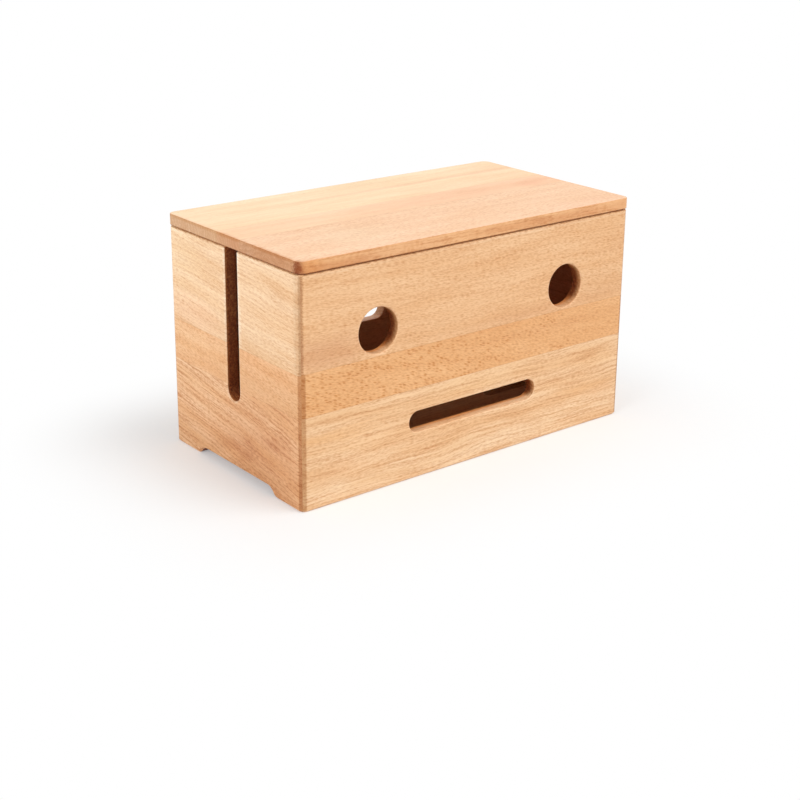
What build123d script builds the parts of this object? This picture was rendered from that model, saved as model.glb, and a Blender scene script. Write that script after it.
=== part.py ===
from build123d import *
import os

# Cable management box: four mitred walls round a grooved-in base, under a loose plank lid.
# Every panel is glued up from solid staves, and each stave is a part of its own.
# Millimetres. The origin is the middle of the box on the surface it stands on:
# +X runs along the length, -Y faces the front, +Z is up.

# Overall, over the lid.
box_length = 240.0
box_depth = 130.0
box_height = 138.0

# Boards.
wall = 7.5
lid_thickness = 7.2
lid_overhang = 0.3
body_corner_radius = 4.0
lid_corner_radius = 4.5
arris = 0.5
lower_arris = 1.0

# The lid's rim stands a hair above the walls, which leaves a shadow line all round.
shadow_gap = 0.6
shadow_gap_depth = 3.0

# Front wall: two round cable holes over one long slot.
hole_radius = 13.0
hole_spacing = 138.0
hole_height = 92.0
hole_rim_round = 1.2
front_slot_length = 94.5
front_slot_width = 12.5
front_slot_height = 33.5
slot_rim_round = 0.8

# Back wall: one slot behind the power strip.
back_slot_length = 60.0
back_slot_width = 12.5
back_slot_height = 55.3

# Side walls: a slot open at the top, and two feet with an arch between them.
side_slot_width = 12.5
side_slot_foot = 44.0
foot_length = 23.8
foot_rise = 4.75
foot_curve = 9.6
toe_curve = 3.8

# Base panel: a thinner tongue round its edge sits in a groove in the walls.
base_floor = 12.0
base_thickness = 7.0
base_tongue = 3.5
groove_depth = 3.0
groove_play = 0.4
vent_length = 36.0
vent_width = 7.0
vent_spacing_x = 144.0
vent_spacing_y = 28.0

# Loose tongue across each mitre, stopped short of both ends of the wall.
loose_tongue_width = 5.0
loose_tongue_thickness = 1.6
loose_tongue_inset = 4.6
loose_tongue_play = 0.2
loose_tongue_rise = 4.0
loose_tongue_stop = 8.0

# Cleats under the lid, which drop in behind the front and back walls.
cleat_width = 8.0
cleat_drop = 8.0
cleat_clearance = 0.6
cleat_lead = 1.0

# Glue lines between staves: heights on the walls, places along Y on the flat panels.
front_glue_lines = (53.3, 77.6)
back_glue_lines = (42.0, 88.0)
side_glue_lines = (52.7, 76.8)
base_glue_lines = (-20.0, 20.0)
lid_glue_lines = (-10.0, 13.0)

# How far a cutter starts outside the wood.
overcut = 5.0

# Sizes that follow from those above.
body_length = box_length - 2 * lid_overhang
body_depth = box_depth - 2 * lid_overhang
body_height = box_height - lid_thickness
inner_length = body_length - 2 * wall
inner_depth = body_depth - 2 * wall
foot_start = body_depth / 2 - foot_length
toe_rise = foot_rise * toe_curve / foot_curve
tongue_low = base_floor + loose_tongue_rise
tongue_high = body_height - loose_tongue_stop


def save(builder, name):
    """Label a finished piece and write its file."""
    builder.part.label = name
    export_step(builder.part, f"parts/{name}.step")


def is_outside(edge):
    """Whether an edge lies on the outer side of the walls."""
    middle = edge.center()
    past_end = abs(middle.X) > (body_length - wall) / 2
    past_face = abs(middle.Y) > (body_depth - wall) / 2
    return past_end or past_face


def ease_rims(builder, outer_side, rim_round):
    """Round the outer rims of the holes just cut through a wall, and bevel the inner ones."""
    rims = builder.edges(Select.LAST).filter_by(Axis.Y, reverse=True).group_by(Axis.Y)
    if outer_side < 0:
        outer_rims, inner_rims = rims[0], rims[-1]
    else:
        outer_rims, inner_rims = rims[-1], rims[0]
    chamfer(inner_rims, arris)
    fillet(outer_rims, rim_round)


def tongue_plane(side_x, side_y):
    """Plane of a loose tongue's section: it lies square across the mitre of one corner."""
    inset = loose_tongue_inset / 2**0.5
    across_x = side_x * (inner_length / 2 + inset)
    across_y = side_y * (inner_depth / 2 + inset)
    return Plane(origin=(across_x, across_y, tongue_low), x_dir=(side_x, -side_y, 0), z_dir=(0, 0, 1))


# The four walls as one frame, rounded and eased after glue-up, with every hole through them.
with BuildPart() as carcass:
    with BuildSketch(Plane.XY.offset(-overcut)):
        RectangleRounded(body_length, body_depth, body_corner_radius)
        Rectangle(inner_length, inner_depth, mode=Mode.SUBTRACT)
    extrude(amount=body_height + overcut)

    # End view of the body: two feet, joined by an arch that rises in a tight arc and a wider one.
    with BuildSketch(Plane.YZ):
        with BuildLine():
            toe = TangentArc(
                (foot_start, 0),
                (foot_start - toe_curve, toe_rise),
                tangent=(-1, 0),
            )
            crown = TangentArc(toe @ 1, (foot_start - foot_curve, foot_rise), tangent=toe % 1)
            Line(crown @ 1, (0, foot_rise))
            Polyline(
                (foot_start, 0),
                (body_depth / 2 + overcut, 0),
                (body_depth / 2 + overcut, body_height + overcut),
                (0, body_height + overcut),
            )
            mirror(about=Plane.YZ)
        make_face()
    extrude(amount=body_length, both=True, mode=Mode.INTERSECT)

    # Round cable holes in the front wall.
    with BuildSketch(Plane.XZ.offset(body_depth / 2)):
        with Locations((0, hole_height)):
            with GridLocations(hole_spacing, 1, 2, 1):
                Circle(hole_radius)
    extrude(amount=-wall, mode=Mode.SUBTRACT)
    ease_rims(carcass, -1, hole_rim_round)

    # Long low slot in the front wall.
    with BuildSketch(Plane.XZ.offset(body_depth / 2)):
        with Locations((0, front_slot_height)):
            SlotOverall(front_slot_length, front_slot_width)
    extrude(amount=-wall, mode=Mode.SUBTRACT)
    ease_rims(carcass, -1, slot_rim_round)

    # Slot in the back wall.
    with BuildSketch(Plane.XZ.offset(-body_depth / 2)):
        with Locations((0, back_slot_height)):
            SlotOverall(back_slot_length, back_slot_width)
    extrude(amount=wall, mode=Mode.SUBTRACT)
    ease_rims(carcass, 1, slot_rim_round)

    # Slots in both side walls, open at the top.
    with BuildSketch(Plane.YZ):
        with Locations((0, side_slot_foot + side_slot_width / 2)):
            Circle(side_slot_width / 2)
            Rectangle(side_slot_width, body_height, align=(Align.CENTER, Align.MIN))
    extrude(amount=body_length, both=True, mode=Mode.SUBTRACT)
    slot_rims = carcass.edges(Select.LAST).filter_by(Axis.X, reverse=True)
    top_edges = carcass.edges().group_by(Axis.Z)[-1]
    lower_edges = carcass.edges().filter_by_position(Axis.Z, 0, foot_rise).filter_by(is_outside)
    chamfer(slot_rims + top_edges, arris)
    chamfer(lower_edges, lower_arris)

    # Groove for the base panel, and the stopped grooves for the loose tongues.
    with BuildSketch(Plane.XY.offset(base_floor - base_tongue)):
        Rectangle(inner_length + 2 * groove_depth, inner_depth + 2 * groove_depth)
    extrude(amount=base_tongue, mode=Mode.SUBTRACT)
    for side_x in (-1, 1):
        for side_y in (-1, 1):
            with BuildSketch(tongue_plane(side_x, side_y)):
                Rectangle(loose_tongue_width + 2 * loose_tongue_play, loose_tongue_thickness)
            extrude(amount=tongue_high - tongue_low, mode=Mode.SUBTRACT)


def mitred_wall(side_x, side_y):
    """One wall of the carcass, between the mitre planes of its two corners."""
    beyond = body_depth / 2 + overcut
    far_x = body_length / 2 + overcut
    near_x = far_x - beyond
    if side_x == 0:
        outline = (
            (-far_x, side_y * beyond),
            (far_x, side_y * beyond),
            (near_x, 0),
            (-near_x, 0),
        )
    else:
        outline = (
            (side_x * far_x, -beyond),
            (side_x * far_x, beyond),
            (side_x * near_x, 0),
        )
    with BuildPart() as cut_wall:
        add(carcass.part)
        with BuildSketch(Plane.XY.offset(-overcut)):
            with BuildLine():
                Polyline(*outline, close=True)
            make_face()
        extrude(amount=body_height + 2 * overcut, mode=Mode.INTERSECT)
    return cut_wall.part


def save_staves(panel, plane, glue_lines, names):
    """Part a glued-up panel at its glue lines, in order along the plane's normal."""
    for number, name in enumerate(names):
        with BuildPart() as stave:
            add(panel)
            if number > 0:
                split(bisect_by=plane.offset(glue_lines[number - 1]), keep=Keep.TOP)
            if number < len(glue_lines):
                split(bisect_by=plane.offset(glue_lines[number]), keep=Keep.BOTTOM)
        save(stave, name)


def save_side_staves(panel, side):
    """Part a side wall at its glue lines; the slot cuts the two upper staves in half."""
    low_line, high_line = side_glue_lines
    with BuildPart() as lower:
        add(panel)
        split(bisect_by=Plane.XY.offset(low_line), keep=Keep.BOTTOM)
    save(lower, f"{side}_stave_lower")
    for half, kept_side in (("front", Keep.BOTTOM), ("rear", Keep.TOP)):
        with BuildPart() as middle:
            add(panel)
            split(bisect_by=Plane.XY.offset(low_line), keep=Keep.TOP)
            split(bisect_by=Plane.XY.offset(high_line), keep=Keep.BOTTOM)
            split(bisect_by=Plane.ZX, keep=kept_side)
        save(middle, f"{side}_stave_middle_{half}")
        with BuildPart() as upper:
            add(panel)
            split(bisect_by=Plane.XY.offset(high_line), keep=Keep.TOP)
            split(bisect_by=Plane.ZX, keep=kept_side)
        save(upper, f"{side}_stave_upper_{half}")


os.makedirs("parts", exist_ok=True)

# Front and back walls.
for face, side_y, glue_lines in (("front", -1, front_glue_lines), ("back", 1, back_glue_lines)):
    stave_names = [f"{face}_stave_{place}" for place in ("lower", "middle", "upper")]
    save_staves(mitred_wall(0, side_y), Plane.XY, glue_lines, stave_names)

# Left and right walls.
for side, side_x in (("left", -1), ("right", 1)):
    save_side_staves(mitred_wall(side_x, 0), side)

# Loose tongues in the mitres.
for face, side_y in (("front", -1), ("back", 1)):
    for side, side_x in (("left", -1), ("right", 1)):
        with BuildPart() as loose_tongue:
            with BuildSketch(tongue_plane(side_x, side_y)):
                Rectangle(loose_tongue_width, loose_tongue_thickness)
            extrude(amount=tongue_high - tongue_low)
        save(loose_tongue, f"corner_tongue_{face}_{side}")

# Base panel: full thickness between the walls, a thinner tongue in their groove, four vent slots.
with BuildPart() as base_panel:
    with BuildSketch(Plane.XY.offset(base_floor)):
        Rectangle(inner_length - 2 * groove_play, inner_depth - 2 * groove_play)
    extrude(amount=-base_thickness)
    with BuildSketch(Plane.XY.offset(base_floor)):
        tongue_reach = groove_depth - groove_play
        Rectangle(inner_length + 2 * tongue_reach, inner_depth + 2 * tongue_reach)
    extrude(amount=-base_tongue)
    with BuildSketch(Plane.XY.offset(base_floor)):
        with GridLocations(vent_spacing_x, vent_spacing_y, 2, 2):
            SlotOverall(vent_length, vent_width)
    extrude(amount=-base_thickness, mode=Mode.SUBTRACT)
base_names = [f"base_stave_{place}" for place in ("front", "middle", "rear")]
save_staves(base_panel.part, Plane.ZX, base_glue_lines, base_names)

# Lid: one plank over the whole box, resting on the walls by a shallow step inside its rim.
with BuildPart() as lid:
    with BuildSketch(Plane.XY.offset(body_height + shadow_gap)):
        RectangleRounded(box_length, box_depth, lid_corner_radius)
    extrude(amount=lid_thickness - shadow_gap)
    rims = lid.edges().group_by(Axis.Z)
    fillet(rims[0] + rims[-1], arris)
    with BuildSketch(Plane.XY.offset(body_height)):
        Rectangle(box_length - 2 * shadow_gap_depth, box_depth - 2 * shadow_gap_depth)
    extrude(amount=shadow_gap)
lid_names = [f"lid_stave_{place}" for place in ("front", "middle", "rear")]
save_staves(lid.part, Plane.ZX, lid_glue_lines, lid_names)

# Cleats under the lid, with their lower edges bevelled to find their way in.
for place, side_y in (("front", -1), ("rear", 1)):
    cleat_y = side_y * (inner_depth / 2 - cleat_clearance - cleat_width / 2)
    with BuildPart() as cleat:
        with BuildSketch(Plane.XY.offset(body_height)):
            with Locations((0, cleat_y)):
                Rectangle(inner_length - 2 * cleat_clearance, cleat_width)
        extrude(amount=-cleat_drop)
        chamfer(cleat.edges().group_by(Axis.Z)[0], cleat_lead)
    save(cleat, f"lid_cleat_{place}")
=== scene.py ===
import math
from types import SimpleNamespace
import bpy
from mathutils import Matrix, Vector


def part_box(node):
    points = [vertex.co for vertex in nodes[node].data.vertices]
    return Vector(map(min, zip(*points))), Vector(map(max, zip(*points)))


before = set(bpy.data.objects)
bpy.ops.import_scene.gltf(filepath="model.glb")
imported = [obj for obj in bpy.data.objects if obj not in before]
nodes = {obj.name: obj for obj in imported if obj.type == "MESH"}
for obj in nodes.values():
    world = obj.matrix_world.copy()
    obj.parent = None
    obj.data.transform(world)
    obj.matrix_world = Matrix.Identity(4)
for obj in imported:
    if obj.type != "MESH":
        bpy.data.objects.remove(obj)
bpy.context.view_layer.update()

MM = 0.001
AXES = "XYZ"

# Camera: where it stands round the box, where it looks and how long its lens is.
CAMERA_AZIMUTH = math.radians(-39.186)
CAMERA_ELEVATION = math.radians(18.027)
CAMERA_ROLL = math.radians(0.702)
CAMERA_DISTANCE = 0.88785
CAMERA_AIM = Vector((0.00557, 0, 0.0665))
CAMERA_LENS = 66.91
SENSOR_WIDTH = 36
CAMERA_SHIFT = (-0.0138, -0.1)

# Light: the sky's share, the floor, and soft boxes by place, aim, size in metres and watts.
# The floor fades to white from the box outwards, over metres, from a share to the whole.
WHITE = (1, 1, 1, 1)
SKY_LIGHT = 0.55
FLOOR_RADIUS = 12.0
FLOOR_SIDES = 96
FLOOR_COLOUR = (0.92, 0.92, 0.92, 1)
FLOOR_FADE = (0.0, 0.11, 0.3, 1.0)
LAMPS = [
    ("front_soft_box", (0.5, -0.9, 1.5), (0, 0, 0.08), 1.2, 15.5),
    ("side_soft_box", (-1.5, -0.3, 0.9), (0, 0, 0.07), 0.9, 9.0),
]

# Wood, as shares of a stave's own tone: its palest and darkest fibres, honey-coloured clouds, a
# ray fleck, a face cut across the grain, a plank's long edge, a plank's rounded arris, painted
# shade on the inner side, and the glue in a joint.
PALE_FIBRE = (1.08, 1.13, 1.18)
DARK_FIBRE = (0.68, 0.45, 0.26)
HONEY = (0.90, 0.79, 0.66)
FLECK = (0.68, 0.42, 0.12)
END_GRAIN = (0.70, 0.58, 0.47)
LONG_EDGE = (0.88, 0.75, 0.56)
ARRIS = (0.88, 0.76, 0.66)
INSIDE_SHADE = (0.86, 0.60, 0.50)
GLUE = (0.50, 0.31, 0.20)

# Cut-outs in the walls: a painted highlight on the rim round them, painted light on a cheek that
# follows the grain, painted warm shade deeper in a cheek, painted pale light in the back slot's
# cheeks, and a cheek's scorch deepened with painted shade. The lip is where the lid and the walls
# meet, darkened with painted shade, with a painted highlight along the walls' top edge below it.
RIM_HIGHLIGHT = (1.08, 1.22, 1.42)
CHEEK_LIGHT = (1.15, 1.16, 1.20)
WARM_CHEEK_SHADE = (1.0, 0.70, 0.42)
PALE_CHEEK_LIGHT = (1.20, 1.22, 1.38)
SCORCH_AND_SHADE = (0.28, 0.16, 0.13)
GAP_SHADE = (0.36, 0.21, 0.05)

# Stains and streaks of single staves, painted shade towards some stave edges, and the tint of most
# rounded corners.
RED_STREAK = (0.86, 0.74, 0.66)
HONEY_STREAK = (0.97, 0.90, 0.80)
ROSE_STAIN = (0.96, 0.84, 0.80)
FAINT_TAN = (0.97, 0.93, 0.90)
BROWN_STAIN = (0.86, 0.76, 0.68)
DARK_KNOT = (0.72, 0.52, 0.38)
BURNT_KNOT = (0.42, 0.19, 0.05)
PALE_END = (1.06, 1.10, 1.14)
SHADED_EDGE = (0.90, 0.86, 0.80)
TAN_WEAR = (0.80, 0.74, 0.69)
DARK_CORNER = (0.66, 0.54, 0.43)

# How a stave was sawn: where the middle of its tree lies from the middle of its face, in
# millimetres across and behind it, and how far apart its growth rings are.
FLAT_SAWN = (4.0, 95.0, 3.2)
RIFT_SAWN = (120.0, 70.0, 2.3)
QUARTER_SAWN = (190.0, 18.0, 2.3)

# How many millimetres each pattern spans along the board, across it and behind its face.
DRIFT_SPAN = (90, 30, 30)
WAVE_SPAN = (15, 6, 6)
RING_SPAN = (200, 16, 16)
STREAK_SPAN = (30, 1.1, 1.1)
RIPPLE_SPAN = (2.6, 0.62, 0.62)
FIBRE_SPAN = (5, 0.35, 0.35)
CLOUD_SPAN = (70, 8, 20)
FLECK_SPAN = (2.9, 1.05, 5)
CROWD_SPAN = (40, 10, 10)
SPECKLE_SPAN = (1.1, 1.1, 1.1)

# How far along its tree one stave lies from the next, how far its fibres swing across the board,
# slowly and in small waves, and how far its growth rings swing, in rings.
SEED_STEP = 137.0
DRIFT_SWING = 8.0
WAVE_SWING = 1.7
RING_SWING = 4.0

# How deep a tone each pattern gives, from 0 for the palest fibre to 1 for the darkest, and the
# soft step that keeps their sum between the two.
EVEN_DEPTH = 0.2
RING_DEPTH = 0.34
STREAK_DEPTH = 1.5
EDGE_STREAK_DEPTH = 1.5
RIPPLE_DEPTH = 2.0
FIBRE_DEPTH = 0.3
DEPTH_RANGE = (-0.2, 1.2, -0.1, 1.1)

# Soft steps: where a thing begins and where it is full. These are in shares of a growth ring, of
# a fleck's cell and its chance, of noise, and of a stain's reach.
LATE_WOOD = (0.3, 0.9)
RING_END = (1.0, 0.9)
FLECK_SHAPE = (0.6, 0.2)
FLECK_CHANCE = (0.05, 0.85)
CROWDED = (-0.15, 0.15, 0.4, 1.0)
CLOUDED = (-0.22, 0.22)
STAINED = (1.1, 0.1)

# These are in how squarely a surface faces along the board, across it or out of it.
END_TURN = (0.35, 0.9)
LONG_EDGE_TURN = (0.5, 0.95)
CHEEK_TURN = (0.8, 0.4)
ARRIS_TURN = (0.15, 0.45)
CORNER_BLEND = 0.45

# These are in millimetres: from a wall's end, in from its face, from the edge of an opening, down
# from the top edge, in from the walls' outer faces, up or down from the lip, and from a glue line,
# which ends with how strongly it shows.
CORNER_REACH = (6.0, 4.8)
INSIDE_SHADE_DEPTH = (6.9, 7.3)
CHEEK_DEPTH = (0.1, 0.8)
WARM_SHADE_DEPTH = (3.0, 6.5)
RIM_DEPTH = (0.9, 0.3)
RIM_REACH = (1.5, 0.3)
TOP_EDGE = 0.5
OUTERMOST = (0.9, 0.4)
GAP_SHADE_REACH = (1.1, 0.35)
TOP_HIGHLIGHT_REACH = (1.0, 0.3)
TOP_HIGHLIGHT_DROP = 1.9
LIP_RISE = 0.3
GLUE_LINE = (0.25, 0.03, 0.0, 0.22)

# How strongly flecks, the painted highlight along the walls' top edge and the painted shade at the
# lip show.
FLECK_SHARE = 0.7
TOP_HIGHLIGHT_SHARE = 0.4
GAP_SHADE_SHARE = 0.65

# How much oil the open pores of a face cut across the grain drink, and how dark a cheek's scorch
# with its painted shade is: an even part, and what the wood's own patterns add.
THIRST, LATE_WOOD_THIRST, PORE_THIRST = 0.85, 0.3, 0.8
CHAR, STREAK_CHAR, PORE_CHAR = 0.9, 0.8, 0.4

# How ragged the wood's patterns leave the edge of a stain, of a corner's tint and of the painted
# shade at the lip.
STREAK_RAG, WAVE_RAG = 0.9, 0.8
CORNER_RAG = 0.3
GAP_SHADE_RAG = 1.2

# How many millimetres nearer the face the painted tint deeper in a cheek begins, across the grain
# and where it goes all round.
END_SOONER = 1.5
ROUND_SOONER = 8.0

# Finish: a satin oil over wood that can be felt a little, with what fibre, flecks and open pores
# add to its roughness. The relief's height is in millimetres, and of it fibre and ripples stand up
# and flecks lie low.
ROUGHNESS = 0.46
FIBRE_ROUGHNESS, FLECK_ROUGHNESS, END_ROUGHNESS = 0.15, 0.08, 0.12
SPECULAR = 0.35
RELIEF_STRENGTH = 0.25
RELIEF_HEIGHT = 0.05
FIBRE_RELIEF, RIPPLE_RELIEF, FLECK_RELIEF = 0.5, 0.5, 0.4

# The colour sockets of a Mix node, which share their names with its other sockets.
MIX_FIRST, MIX_SECOND, MIX_RESULT = 6, 7, 2


class Wire:
    """A value on its way through a material: Python arithmetic on it adds Math nodes."""

    def __init__(self, tree, socket=None):
        self.tree = tree
        self.socket = socket

    def node(self, kind, settings=None, values=None, output=0):
        """Add any node: its settings first, then the values or wires of its sockets."""
        made = self.tree.nodes.new(kind)
        for name, setting in (settings or {}).items():
            setattr(made, name, setting)
        for key, value in (values or {}).items():
            if isinstance(value, Wire):
                self.tree.links.new(value.socket, made.inputs[key])
            else:
                made.inputs[key].default_value = value
        if not made.outputs:
            return None
        return Wire(self.tree, made.outputs[output])

    def beside(self, output):
        """Another output of the same node."""
        return Wire(self.tree, self.socket.node.outputs[output])

    def math(self, operation, *values):
        return self.node("ShaderNodeMath", {"operation": operation}, dict(enumerate(values)))

    def __add__(self, other):
        return self.math("ADD", self, other)

    def __radd__(self, other):
        return self.math("ADD", other, self)

    def __sub__(self, other):
        return self.math("SUBTRACT", self, other)

    def __rsub__(self, other):
        return self.math("SUBTRACT", other, self)

    def __mul__(self, other):
        return self.math("MULTIPLY", self, other)

    def __rmul__(self, other):
        return self.math("MULTIPLY", other, self)

    def __truediv__(self, other):
        return self.math("DIVIDE", self, other)

    def __abs__(self):
        return self.math("ABSOLUTE", self)

    def root(self):
        return self.math("SQRT", self)

    def at_least(self, other):
        return self.math("MAXIMUM", self, other)

    def at_most(self, other):
        return self.math("MINIMUM", self, other)

    def fraction(self):
        """What is left after the last whole number."""
        return self.math("FRACT", self)

    def step(self, low, high, at_low=0.0, at_high=1.0):
        """A smooth step from at_low to at_high while the value goes from low to high."""
        return self.node(
            "ShaderNodeMapRange",
            {"interpolation_type": "SMOOTHSTEP"},
            {"Value": self, "From Min": low, "From Max": high, "To Min": at_low, "To Max": at_high},
        )

    def split(self):
        """The three numbers of a vector or a colour, by axis."""
        parts = self.node("ShaderNodeSeparateXYZ", None, {"Vector": self})
        return {axis: parts.beside(axis) for axis in AXES}

    def spread(self, place, span):
        """A place as a vector, with each part divided by what a pattern spans that way."""
        parts = {axis: part / size for axis, part, size in zip(AXES, place, span)}
        return self.node("ShaderNodeCombineXYZ", None, parts)

    def noise(self, place, span, detail=1.0, roughness=0.5):
        """Smooth noise about zero, seldom past 0.25 either way."""
        vector = self.spread(place, span)
        values = {"Vector": vector, "Scale": 1.0, "Detail": detail, "Roughness": roughness}
        return self.node("ShaderNodeTexNoise", {"noise_dimensions": "3D"}, values) - 0.5

    def mix(self, factor, first, second, blend="MIX"):
        """Two colours blended by a factor."""
        settings = {"data_type": "RGBA", "blend_type": blend}
        values = {"Factor": factor, MIX_FIRST: first, MIX_SECOND: second}
        return self.node("ShaderNodeMix", settings, values, MIX_RESULT)

    def tinted(self, factor, tint):
        """This colour multiplied by a tint, as far as the factor says."""
        return self.mix(factor, self, (*tint, 1), "MULTIPLY")


def shade(red, green, blue):
    """A colour given as it looks on a screen, 0 to 255, in Blender's linear terms."""
    linear = []
    for part in (red, green, blue):
        share = part / 255
        linear.append(share / 12.92 if share <= 0.04045 else ((share + 0.055) / 1.055) ** 2.4)
    return linear


def times(colour, tint):
    """A plain colour multiplied by a tint."""
    return (*[part * share for part, share in zip(colour, tint)], 1)


def bottom_of(name, axis):
    """The near side of a piece along an axis, in millimetres."""
    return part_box(name)[0][AXES.index(axis)] / MM


def top_of(name, axis):
    """The far side of a piece along an axis, in millimetres."""
    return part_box(name)[1][AXES.index(axis)] / MM


def middle_of(names):
    """The middle of some pieces together, in millimetres."""
    corners = [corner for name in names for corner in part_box(name)]
    low = [min(corner[axis] for corner in corners) for axis in range(3)]
    high = [max(corner[axis] for corner in corners) for axis in range(3)]
    return [(a + b) / 2 / MM for a, b in zip(low, high)]


# The walls' outer sizes and height, and the box's left, front and top, which are the lid's,
# because the walls stand a little inside it. All are in millimetres.
HALF_LENGTH = top_of("right_stave_lower", "X")
HALF_DEPTH = top_of("back_stave_lower", "Y")
WALL_TOP = top_of("front_stave_upper", "Z")
LIP_HEIGHT = WALL_TOP + LIP_RISE
BOX_LEFT = bottom_of("lid_stave_front", "X")
BOX_FRONT = bottom_of("lid_stave_front", "Y")
BOX_TOP = top_of("lid_stave_front", "Z")


def survey(start, wood, grain, face, middle):
    """What shows at each place on a stave: how it is turned, and the patterns in its wood."""
    at = SimpleNamespace()
    place = start.node("ShaderNodeTexCoord", None, None, "Object").split()
    at.axes = {axis: place[axis] * (1 / MM) for axis in AXES}
    at.from_end = HALF_LENGTH - abs(at.axes["X"])
    at.from_front = HALF_DEPTH - abs(at.axes["Y"])

    cross = next(axis for axis in "ZYX" if axis not in (grain, face))
    at.normal = start.node("ShaderNodeNewGeometry", None, None, "Normal").split()
    at.end_share = abs(at.normal[grain]).step(*END_TURN)
    at.long_edge = abs(at.normal[cross]).step(*LONG_EDGE_TURN)

    # Fibres wander slowly along the board, with small waves on top.
    run = at.axes[grain]
    along = run + wood.seed * SEED_STEP
    across = at.axes[cross] - middle[AXES.index(cross)]
    behind = at.axes[face] - middle[AXES.index(face)]
    board = (along, across, behind)
    drift = start.noise(board, DRIFT_SPAN)
    at.wave = start.noise(board, WAVE_SPAN)
    bent = across + run * wood.tilt + drift * DRIFT_SWING + at.wave * WAVE_SWING
    fibres = (along, bent, behind)
    rays = (along, bent + run * wood.slant, behind)

    # Growth rings: circles round the middle of the tree, each ending in a darker line.
    pith_across, pith_behind, ring = wood.sawn
    sideways = bent - pith_across
    inwards = behind + pith_behind
    radius = (sideways * sideways + inwards * inwards).root()
    turn = (radius / ring + start.noise(board, RING_SPAN) * RING_SWING).fraction()
    at.late_wood = turn.step(*LATE_WOOD) * turn.step(*RING_END)

    # Long streaks, short ripples, fine fibre, broad clouds and the speckle of open pores.
    at.streak = start.noise(fibres, STREAK_SPAN, detail=1.5, roughness=0.55)
    at.ripple = start.noise(rays, RIPPLE_SPAN)
    at.fibre = start.noise(fibres, FIBRE_SPAN, detail=2.0, roughness=0.6)
    at.cloud = start.noise(fibres, CLOUD_SPAN, detail=1.5)
    at.speckle = start.noise((at.axes[cross], at.axes[face], run), SPECKLE_SPAN)

    # Ray flecks: short brown dashes, thicker on some stretches than on others.
    cells = start.node(
        "ShaderNodeTexVoronoi",
        {"voronoi_dimensions": "3D", "feature": "F1"},
        {"Vector": start.spread(rays, FLECK_SPAN), "Scale": 1.0},
    )
    chance = cells.beside("Color").split()["X"]
    crowd = (start.noise(board, CROWD_SPAN) - run * wood.thinning).step(*CROWDED)
    at.flecks = cells.step(*FLECK_SHAPE) * chance.step(*FLECK_CHANCE) * crowd * wood.flecks

    at.thirst = THIRST + at.late_wood * LATE_WOOD_THIRST + at.speckle * PORE_THIRST
    return at


def flat_colour(start, at, wood, edge_streaks):
    """The wood itself, with this stave's own stains."""
    depth = (
        EVEN_DEPTH
        + at.late_wood * (RING_DEPTH * wood.rings)
        + at.streak * (edge_streaks + STREAK_DEPTH * wood.lines)
        + at.ripple * (RIPPLE_DEPTH * wood.ripples)
        + at.fibre * FIBRE_DEPTH
    )
    pale, dark = times(wood.tone, PALE_FIBRE), times(wood.tone, DARK_FIBRE)
    colour = start.mix(depth.step(*DEPTH_RANGE), pale, dark)
    colour = colour.tinted(at.cloud.step(*CLOUDED) * wood.clouds, HONEY)
    colour = colour.tinted(at.flecks * FLECK_SHARE, FLECK)
    for centre, reach, tint, strength in wood.marks:
        offsets = [(at.axes[axis] - spot) / far for axis, spot, far in zip(AXES, centre, reach)]
        away = sum(offset * offset for offset in offsets).root()
        ragged = away + at.streak * STREAK_RAG + at.wave * WAVE_RAG
        colour = colour.tinted(ragged.step(*STAINED) * strength, tint)
    return colour


def wall_colour(colour, at, wood, grain, face, cuts):
    """A wall's corners, its inner side with painted shade, and the rims and cheeks of its cut-outs,
    with a painted highlight on the rims and painted light and shade on the cheeks.

    The second value is how far a place is on a cheek that is cut across the grain.
    """
    depth_in, from_corner = at.from_front, at.from_end
    if face == "X":
        depth_in, from_corner = from_corner, depth_in
    by_corner = from_corner.step(*CORNER_REACH)

    # A corner's tint, by how far the surface has turned: none on a face and 1 halfway round.
    tint, begins = wood.corner
    turned = abs(at.normal["X"] * at.normal["Y"]) * 2.0 + at.ripple * CORNER_RAG
    colour = colour.tinted(turned.step(begins, begins + CORNER_BLEND) * by_corner, tint)
    # Painted shade on the wall's inner side.
    colour = colour.tinted(depth_in.step(*INSIDE_SHADE_DEPTH), INSIDE_SHADE)

    # A painted highlight on the rim round each opening.
    for middle, half_run, lowest, highest, radius in cuts.openings:
        aside = (abs(at.axes[grain] - middle) - half_run).at_least(0.0)
        beyond = (lowest - at.axes["Z"]).at_least(at.axes["Z"] - highest).at_least(0.0)
        outside = (aside * aside + beyond * beyond).root() - radius
        rim = abs(outside).step(*RIM_REACH) * depth_in.step(*RIM_DEPTH)
        colour = colour.tinted(rim * cuts.rim, RIM_HIGHLIGHT)

    below_top = at.axes["Z"].step(WALL_TOP, WALL_TOP - TOP_EDGE)
    cheek = abs(at.normal[face]).step(*CHEEK_TURN) * (1.0 - by_corner) * below_top
    end_cheek = at.end_share * cheek * depth_in.step(*CHEEK_DEPTH)
    # Painted light on cheeks that follow the grain; those cut across it show end grain that drinks
    # more oil.
    colour = colour.tinted(cheek * (1.0 - end_cheek), CHEEK_LIGHT)
    colour = colour.tinted(end_cheek * at.thirst, END_GRAIN)
    sooner = end_cheek * END_SOONER + cuts.all_round * ROUND_SOONER
    # Deeper into a cheek: painted warm shade in the front and side walls, painted pale light in the
    # back wall.
    colour = colour.tinted((depth_in + sooner).step(*WARM_SHADE_DEPTH) * cheek, cuts.tint)
    # A scorch with painted shade, darker deeper into the cheek.
    charred_and_shaded = depth_in.step(*cuts.scorched) * (cheek if cuts.all_round else end_cheek)
    uneven = CHAR + at.streak * STREAK_CHAR + at.speckle * PORE_CHAR
    colour = colour.tinted(charred_and_shaded * uneven, SCORCH_AND_SHADE)
    return colour, end_cheek


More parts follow.
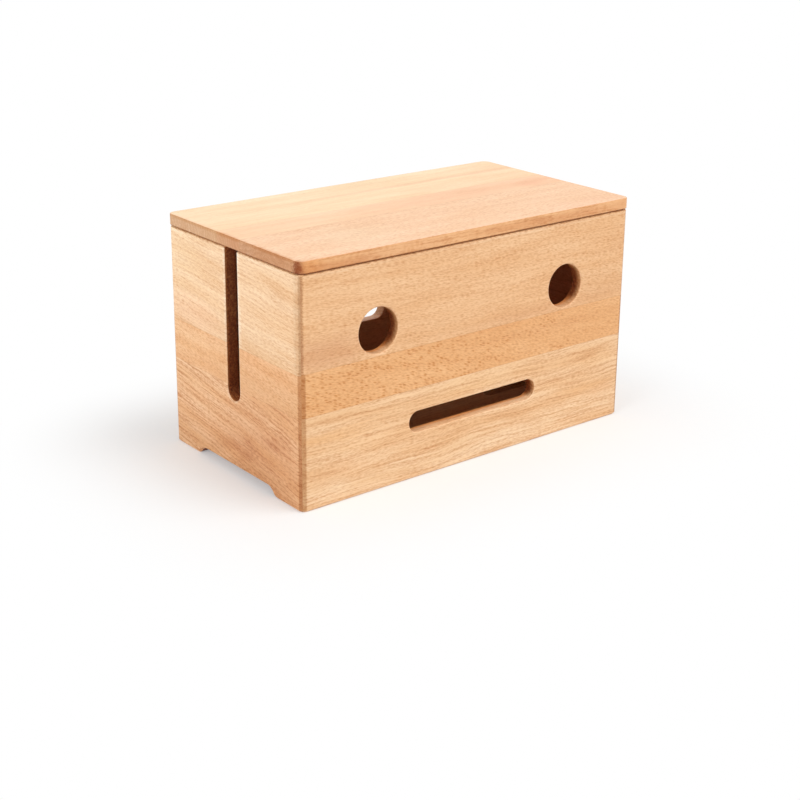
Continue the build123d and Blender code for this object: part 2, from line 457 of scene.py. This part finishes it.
def plank_colour(colour, at):
    """A plank's ends, long edges and rounded arrises, which drink more oil than its face."""
    colour = colour.tinted(at.end_share * at.thirst, END_GRAIN)
    colour = colour.tinted(at.long_edge, LONG_EDGE)
    arris = abs(at.normal["Z"] * at.normal["X"]) + abs(at.normal["Z"] * at.normal["Y"])
    return colour.tinted(arris.step(*ARRIS_TURN), ARRIS)


def lip_colour(colour, at):
    """Painted shade along the gap where the lid and the walls meet, and a painted highlight along
    the walls' top edge below it.
    """
    near_edge = at.from_end.at_most(at.from_front).step(*OUTERMOST)
    above = at.axes["Z"] - LIP_HEIGHT
    # A painted highlight along the walls' top edge, below the lip.
    top_highlight = abs(above + TOP_HIGHLIGHT_DROP).step(*TOP_HIGHLIGHT_REACH) * near_edge
    colour = colour.tinted(top_highlight * TOP_HIGHLIGHT_SHARE, RIM_HIGHLIGHT)
    # Painted shade along the gap under the lid.
    gap_shade = abs(above + at.ripple * GAP_SHADE_RAG).step(*GAP_SHADE_REACH) * near_edge
    return colour.tinted(gap_shade * GAP_SHADE_SHARE, GAP_SHADE)


def beech(name, wood, grain, face, middle, joints=(), cuts=None, meets_lid=False):
    """Oiled beech for one stave, as a solid pattern that runs through the wood.

    grain is the axis that the fibres follow, and face the axis that the panel looks along.
    middle is the stave's middle in millimetres, and joints are the axes and places of its panel's
    glue lines. cuts, for a wall, are its cut-outs. meets_lid is for the walls and the lid itself.
    """
    material = bpy.data.materials.new(name)
    material.use_nodes = True
    tree = material.node_tree
    tree.nodes.clear()
    start = Wire(tree)

    at = survey(start, wood, grain, face, middle)
    colour = flat_colour(start, at, wood, 0.0 if cuts else at.long_edge * EDGE_STREAK_DEPTH)
    end_share = at.end_share
    if cuts:
        colour, end_share = wall_colour(colour, at, wood, grain, face, cuts)
    else:
        colour = plank_colour(colour, at)
    if meets_lid:
        colour = lip_colour(colour, at)
    seam = sum(abs(at.axes[axis] - line).step(*GLUE_LINE) for axis, line in joints)
    colour = colour.tinted(seam, GLUE)

    raised = at.fibre * FIBRE_RELIEF + at.ripple * RIPPLE_RELIEF
    relief = raised - at.flecks * FLECK_RELIEF - seam
    bump = start.node(
        "ShaderNodeBump",
        None,
        {"Strength": RELIEF_STRENGTH, "Distance": RELIEF_HEIGHT * MM, "Height": relief},
    )
    roughness = ROUGHNESS + at.fibre * FIBRE_ROUGHNESS + at.flecks * FLECK_ROUGHNESS
    roughness = roughness + end_share * END_ROUGHNESS
    values = {
        "Base Color": colour,
        "Roughness": roughness,
        "Normal": bump,
        "Specular IOR Level": SPECULAR,
    }
    surface = start.node("ShaderNodeBsdfPrincipled", None, values)
    start.node("ShaderNodeOutputMaterial", None, {"Surface": surface})
    return material


def stave(tone, sawn, seed, rings=0.5, lines=0.5, ripples=0.5, flecks=0.5, clouds=0.7, tilt=0.0,
          slant=0.0, thinning=0.0, corner=((0.72, 0.60, 0.49), 0.3), marks=()):
    """What sets one stave's wood apart from the next.

    rings, lines, ripples, flecks and clouds say how strongly growth rings, long streaks, short
    ripples, ray flecks and broad changes of tone show. tilt is how far the fibres drop across the
    board for each millimetre along it, and slant how much more the ripples and flecks do.
    thinning is how fast the flecks get fewer along the board.
    corner is the tint of a wall's rounded corner, and how far it turns before the tint begins.
    marks are stains, with a few painted highlights and shades: their middle and reach in
    millimetres, their tint and their strength.
    """
    return SimpleNamespace(
        tone=shade(*tone),
        sawn=sawn,
        seed=seed,
        rings=rings,
        lines=lines,
        ripples=ripples,
        flecks=flecks,
        clouds=clouds,
        tilt=tilt,
        slant=slant,
        thinning=thinning,
        corner=corner,
        marks=marks,
    )


# Stains on the box's outside, with a few painted highlights and shades: the middle and the reach
# of each on its face, its tint and strength, and how deep it goes. Most soak in, and those on the
# lid's edge stay near the surface. The last two are the heights of the middle of the lid's edge
# and of the edge's rounded top.
SOAKED = 20
ON_EDGE = 3
SKIN_DEEP = 2
LID_EDGE = 134.5
LID_ARRIS = 137.2


def front_stain(x, z, wide, high, tint, strength=1.0, deep=SOAKED):
    return (x, BOX_FRONT, z), (wide, deep, high), tint, strength


def left_mark(y, z, wide, high, tint, strength=1.0, deep=SOAKED):
    return (BOX_LEFT, y, z), (deep, wide, high), tint, strength


def top_stain(x, y, wide, long, tint, strength=1.0):
    return (x, y, BOX_TOP), (wide, long, SOAKED), tint, strength


STAVES = {
    "front": {
        "upper": stave(
            (236, 189, 142), RIFT_SAWN, 1,
            rings=0.1, lines=0.4, ripples=0.6, flecks=0.5, clouds=0.6,
            slant=0.12, corner=((0.62, 0.52, 0.44), 0.6),
            marks=(
                front_stain(-105, 86, 50, 14, (0.88, 0.80, 0.77)),
                front_stain(98, 89, 35, 12, (0.94, 0.90, 0.86), 0.9),
                front_stain(50, 81, 90, 5, RED_STREAK, 0.55),
            ),
        ),
        "middle": stave(
            (234, 179, 124), FLAT_SAWN, 2,
            rings=0.05, lines=0.2, ripples=0.6, flecks=0.95, clouds=0.5,
            tilt=0.12, slant=0.14, thinning=0.002, corner=(DARK_CORNER, 0.2),
            marks=(
                front_stain(60, 69, 75, 4, RED_STREAK, 0.35),
                front_stain(20, 77, 50, 7, (0.96, 0.90, 0.84), 0.8),
            ),
        ),
        "lower": stave(
            (240, 199, 155), QUARTER_SAWN, 3,
            rings=0.3, lines=0.85, ripples=0.55, flecks=0.2, clouds=0.8,
            corner=(DARK_CORNER, 0.2),
            marks=(
                front_stain(0, 47, 60, 6, (0.98, 0.95, 0.88), 0.9),
                front_stain(-98, 19, 25, 8, FAINT_TAN),
                front_stain(104, 20, 18, 7, FAINT_TAN),
                front_stain(70, 16, 30, 6, PALE_END, 0.6),
                front_stain(-98, 39, 34, 6, HONEY_STREAK),
                front_stain(-75, 31, 40, 5, PALE_END, 0.7),
                front_stain(96, 41, 36, 7, HONEY_STREAK, 0.7),
                front_stain(85, 24, 40, 4, HONEY_STREAK, 0.7),
                front_stain(70, 31, 26, 4, PALE_END, 0.7),
                front_stain(-10, 8, 170, 12, (1.03, 1.11, 1.21)),
            ),
        ),
    },
    "left": {
        "upper": stave(
            (250, 213, 172), RIFT_SAWN, 4,
            rings=0.35, lines=0.4, ripples=0.5, flecks=0.3, clouds=0.8,
            tilt=-0.08, corner=((0.66, 0.57, 0.49), 0.6),
            marks=(
                left_mark(62, 110, 75, 60, PALE_END, 0.9),
                left_mark(0, 80, 140, 16, SHADED_EDGE, 0.5),
                left_mark(38, 84, 45, 13, (1.0, 0.91, 0.88), 0.9),
                left_mark(52, 118, 32, 22, (1.02, 1.06, 1.08)),
                left_mark(-46, 113, 15, 10, (0.95, 0.92, 0.90), 0.8),
                left_mark(-62, 105, 4, 70, TAN_WEAR, 0.8),
                # A painted highlight along the slot's front edge.
                left_mark(-7.5, 90, 2.6, 70, RIM_HIGHLIGHT, 0.8, deep=4),
            ),
        ),
        "middle": stave(
            (241, 190, 142), FLAT_SAWN, 5,
            rings=0.1, lines=0.3, ripples=0.6, flecks=0.6, clouds=0.9,
            tilt=-0.12, corner=(DARK_CORNER, 0.25),
            marks=(
                left_mark(62, 64, 75, 40, PALE_END, 0.9),
                left_mark(-50, 55, 85, 15, SHADED_EDGE),
                left_mark(-22, 73, 24, 6, (1.05, 1.08, 1.12), 0.9),
                left_mark(45, 68, 50, 16, (1.03, 1.06, 1.07)),
            ),
        ),
        "lower": stave(
            (241, 193, 148), RIFT_SAWN, 6,
            rings=0.7, lines=1.15, ripples=0.75, flecks=0.3, clouds=1.0,
            tilt=-0.14, corner=(DARK_CORNER, 0.25),
            marks=(
                left_mark(62, 35, 70, 40, PALE_END, 0.9),
                left_mark(0, 4, 160, 18, SHADED_EDGE),
                left_mark(-35, 22, 62, 38, BROWN_STAIN),
                left_mark(8, 17, 50, 15, FAINT_TAN),
                left_mark(-42, 32, 24, 9, (0.96, 0.92, 0.90)),
                left_mark(-9, 20, 20, 7, DARK_KNOT, 0.55),
                left_mark(42, 47, 42, 9, (1.03, 1.07, 1.09), 0.9),
                left_mark(-38, 29, 10, 5, DARK_KNOT, 0.35),
            ),
        ),
    },
    "back": {
        "upper": stave((243, 203, 160), RIFT_SAWN, 7, rings=0.3, flecks=0.2),
        "middle": stave((238, 193, 146), QUARTER_SAWN, 8, rings=0.3, lines=0.7, flecks=0.1),
        "lower": stave((235, 184, 136), FLAT_SAWN, 9, rings=0.1, lines=0.3, flecks=0.7),
    },
    "right": {
        "upper": stave((237, 190, 144), FLAT_SAWN, 10, rings=0.2, lines=0.3),
        "middle": stave((235, 182, 136), RIFT_SAWN, 11, rings=0.3, tilt=0.05),
        "lower": stave((241, 199, 155), QUARTER_SAWN, 12, rings=0.3, lines=0.8, flecks=0.1),
    },
    "base": {
        "front": stave((226, 170, 122), FLAT_SAWN, 13, rings=0.2),
        "middle": stave((230, 178, 130), RIFT_SAWN, 14, rings=0.4, flecks=0.2),
        "rear": stave((222, 164, 114), FLAT_SAWN, 15, rings=0.2),
    },
    "lid": {
        "front": stave(
            (248, 204, 165), FLAT_SAWN, 16,
            rings=0.05, lines=0.15, ripples=0.5, flecks=0.4, clouds=0.5,
            marks=(
                ((-119, -62.5, 133.5), (4.5, 4.5, 9), BURNT_KNOT, 1.0),
                front_stain(-114, LID_EDGE, 12, 8, (0.92, 0.78, 0.62), 0.9, SKIN_DEEP),
                front_stain(-55, LID_EDGE, 60, 5, (0.95, 0.93, 0.96), 0.8, SKIN_DEEP),
                left_mark(-40, LID_EDGE, 34, 10, BROWN_STAIN, 1.0, ON_EDGE),
                left_mark(-15, LID_EDGE, 12, 10, (0.94, 0.93, 0.95), 1.0, ON_EDGE),
                left_mark(-40, LID_ARRIS, 60, 1.3, LONG_EDGE, 1.0, SKIN_DEEP),
                front_stain(-95, 133, 30, 4, RED_STREAK, 0.9, SKIN_DEEP),
                front_stain(35, LID_EDGE, 60, 3.5, RED_STREAK, 1.0, SKIN_DEEP),
                front_stain(95, LID_EDGE, 50, 4, RED_STREAK, 0.6, SKIN_DEEP),
                top_stain(90, -58, 45, 10, (0.98, 0.93, 0.92), 0.8),
                top_stain(-66, -36, 36, 26, (1.0, 1.07, 1.11)),
            ),
        ),
        "middle": stave(
            (252, 211, 171), RIFT_SAWN, 17,
            rings=0.05, lines=0.15, ripples=0.15, flecks=0.05, clouds=0.5,
            marks=(
                top_stain(45, 1, 105, 20, ROSE_STAIN, 0.9),
                top_stain(108, 3, 26, 18, ROSE_STAIN, 0.7),
                left_mark(-4, LID_EDGE, 28, 10, (0.92, 0.83, 0.82), 1.0, ON_EDGE),
                left_mark(10, LID_EDGE, 14, 10, (1.02, 1.06, 1.08), 1.0, ON_EDGE),
                left_mark(0, LID_ARRIS, 60, 1.3, LONG_EDGE, 1.0, SKIN_DEEP),
            ),
        ),
        "rear": stave(
            (254, 222, 181), QUARTER_SAWN, 18,
            rings=0.1, lines=0.2, ripples=0.15, flecks=0.05, clouds=0.5,
            marks=(
                top_stain(50, 40.5, 150, 3.2, ROSE_STAIN, 0.8),
                top_stain(75, 20, 100, 14, ROSE_STAIN, 0.4),
                left_mark(42, LID_EDGE, 50, 12, (0.97, 0.92, 0.97), 1.0, ON_EDGE),
                left_mark(42, LID_ARRIS, 45, 1.3, LONG_EDGE, 0.8, SKIN_DEEP),
                top_stain(105, 42, 50, 18, ROSE_STAIN, 0.4),
                top_stain(-20, 60, 150, 9, (1.0, 1.04, 1.07), 0.9),
            ),
        ),
    },
}
CLEAT_WOOD = stave((228, 175, 128), RIFT_SAWN, 19)
TONGUE_WOOD = stave((240, 196, 150), FLAT_SAWN, 20)

# The cut-outs of each wall: the painted tint deeper in their cheeks (warm shade in the front and
# sides, pale light in the back), the depths where their scorch with painted shade starts and ends,
# whether that goes all round or only across the grain, how strong the painted highlight on their
# rims is, and each opening's middle, half its straight run, its lowest and highest centre and its
# radius, in millimetres. A side slot's highest centre is above the wall, because the slot is open
# there.
HOLE_RADIUS = 13
SLOT_RADIUS = 6.25
FRONT_CUTS = SimpleNamespace(
    tint=WARM_CHEEK_SHADE,
    scorched=(0.6, 5.0),
    all_round=False,
    rim=0.3,
    openings=(
        (-69, 0, 92, 92, HOLE_RADIUS),
        (69, 0, 92, 92, HOLE_RADIUS),
        (0, 41, 33.5, 33.5, SLOT_RADIUS),
    ),
)
BACK_CUTS = SimpleNamespace(
    tint=PALE_CHEEK_LIGHT,
    scorched=(20.0, 30.0),
    all_round=True,
    rim=0.5,
    openings=((0, 23.75, 55.3, 55.3, SLOT_RADIUS),),
)
SIDE_CUTS = SimpleNamespace(
    tint=WARM_CHEEK_SHADE,
    scorched=(-1.0, 2.2),
    all_round=True,
    rim=1.0,
    openings=((0, 0, 50.25, 200, SLOT_RADIUS),),
)

# For each panel: the axis of its grain, the axis that it looks along, the axis across its glue
# lines, its cut-outs, and whether it meets the lid or is the lid.
PANELS = {
    "front": ("X", "Y", "Z", FRONT_CUTS, True),
    "back": ("X", "Y", "Z", BACK_CUTS, True),
    "left": ("Y", "X", "Z", SIDE_CUTS, True),
    "right": ("Y", "X", "Z", SIDE_CUTS, True),
    "base": ("X", "Z", "Y", None, False),
    "lid": ("X", "Z", "Y", None, True),
}


def dress(names, material):
    """Give these pieces of the box one material."""
    for name in names:
        for slot in nodes[name].material_slots:
            slot.material = material


def dress_panels():
    """Give every stave its own wood."""
    for panel, (grain, face, joined, cuts, meets_lid) in PANELS.items():
        order = ("front", "middle", "rear") if face == "Z" else ("lower", "middle", "upper")
        groups = {
            place: [name for name in nodes if name.startswith(f"{panel}_stave_{place}")]
            for place in order
        }
        joints = [(joined, top_of(groups[place][0], joined)) for place in order[:2]]
        for place, names in groups.items():
            wood = STAVES[panel][place]
            material = beech(
                f"beech_{panel}_{place}", wood, grain, face, middle_of(names), joints, cuts,
                meets_lid,
            )
            dress(names, material)
    cleats = ["lid_cleat_front", "lid_cleat_rear"]
    dress(cleats, beech("beech_cleats", CLEAT_WOOD, "X", "Y", middle_of(cleats)))
    tongues = [name for name in nodes if name.startswith("corner_tongue")]
    dress(tongues, beech("beech_tongues", TONGUE_WOOD, "Z", "Y", middle_of(tongues)))


def make_camera():
    """The camera at its place round the box."""
    level_reach = math.cos(CAMERA_ELEVATION)
    back = Vector((
        math.sin(CAMERA_AZIMUTH) * level_reach,
        -math.cos(CAMERA_AZIMUTH) * level_reach,
        math.sin(CAMERA_ELEVATION),
    ))
    level = Vector((0, 0, 1)).cross(back).normalized()
    upright = back.cross(level)
    right = level * math.cos(CAMERA_ROLL) + upright * math.sin(CAMERA_ROLL)
    up = upright * math.cos(CAMERA_ROLL) - level * math.sin(CAMERA_ROLL)
    data = bpy.data.cameras.new("camera")
    data.sensor_width = SENSOR_WIDTH
    data.lens = CAMERA_LENS
    data.shift_x, data.shift_y = CAMERA_SHIFT
    camera = bpy.data.objects.new("camera", data)
    turn = Matrix((right, up, back)).transposed().to_4x4()
    camera.matrix_world = Matrix.Translation(CAMERA_AIM + back * CAMERA_DISTANCE) @ turn
    bpy.context.scene.collection.objects.link(camera)
    bpy.context.scene.camera = camera


def make_lamp(name, place, aim, size, power):
    """A square soft box, pointed at a place."""
    data = bpy.data.lights.new(name, "AREA")
    data.shape = "SQUARE"
    data.size = size
    data.energy = power
    lamp = bpy.data.objects.new(name, data)
    lamp.location = place
    lamp.rotation_euler = (Vector(aim) - Vector(place)).to_track_quat("-Z", "Y").to_euler()
    bpy.context.scene.collection.objects.link(lamp)


def seen_directly(start):
    """One where the camera, a mirror or glass looks, and zero for light itself."""
    camera = start.node("ShaderNodeLightPath", None, None, "Is Camera Ray")
    mirror = camera.at_least(camera.beside("Is Glossy Ray"))
    return mirror.at_least(camera.beside("Is Transmission Ray"))


def make_surroundings():
    """White all round where it is seen, and a softer sky as light."""
    world = bpy.data.worlds.new("studio")
    world.use_nodes = True
    world.node_tree.nodes.clear()
    air = Wire(world.node_tree)
    strength = seen_directly(air).step(0, 1, SKY_LIGHT, 1.0)
    sky = air.node("ShaderNodeBackground", None, {"Color": WHITE, "Strength": strength})
    air.node("ShaderNodeOutputWorld", None, {"Surface": sky})
    bpy.context.scene.world = world


def make_floor():
    """A plain pale floor that keeps the box's shadow and fades to white away from it."""
    bpy.ops.mesh.primitive_circle_add(
        vertices=FLOOR_SIDES, radius=FLOOR_RADIUS, fill_type="NGON"
    )
    floor = bpy.context.object
    floor.name = "floor"
    material = bpy.data.materials.new("pale_floor")
    material.use_nodes = True
    material.node_tree.nodes.clear()
    ground = Wire(material.node_tree)
    place = ground.node("ShaderNodeTexCoord", None, None, "Object").split()
    beside = (abs(place["X"]) - HALF_LENGTH * MM).at_least(0.0)
    before = (abs(place["Y"]) - HALF_DEPTH * MM).at_least(0.0)
    away = (beside * beside + before * before).root()
    paint = ground.node("ShaderNodeBsdfDiffuse", None, {"Color": FLOOR_COLOUR})
    glow = ground.node("ShaderNodeEmission", None, {"Color": WHITE, "Strength": 1.0})
    fade = away.step(*FLOOR_FADE) * seen_directly(ground)
    mixed = ground.node("ShaderNodeMixShader", None, {0: fade, 1: paint, 2: glow})
    ground.node("ShaderNodeOutputMaterial", None, {"Surface": mixed})
    floor.data.materials.append(material)


dress_panels()
make_camera()
make_surroundings()
make_floor()
for lamp in LAMPS:
    make_lamp(*lamp)
bpy.context.scene.view_settings.view_transform = "Standard"
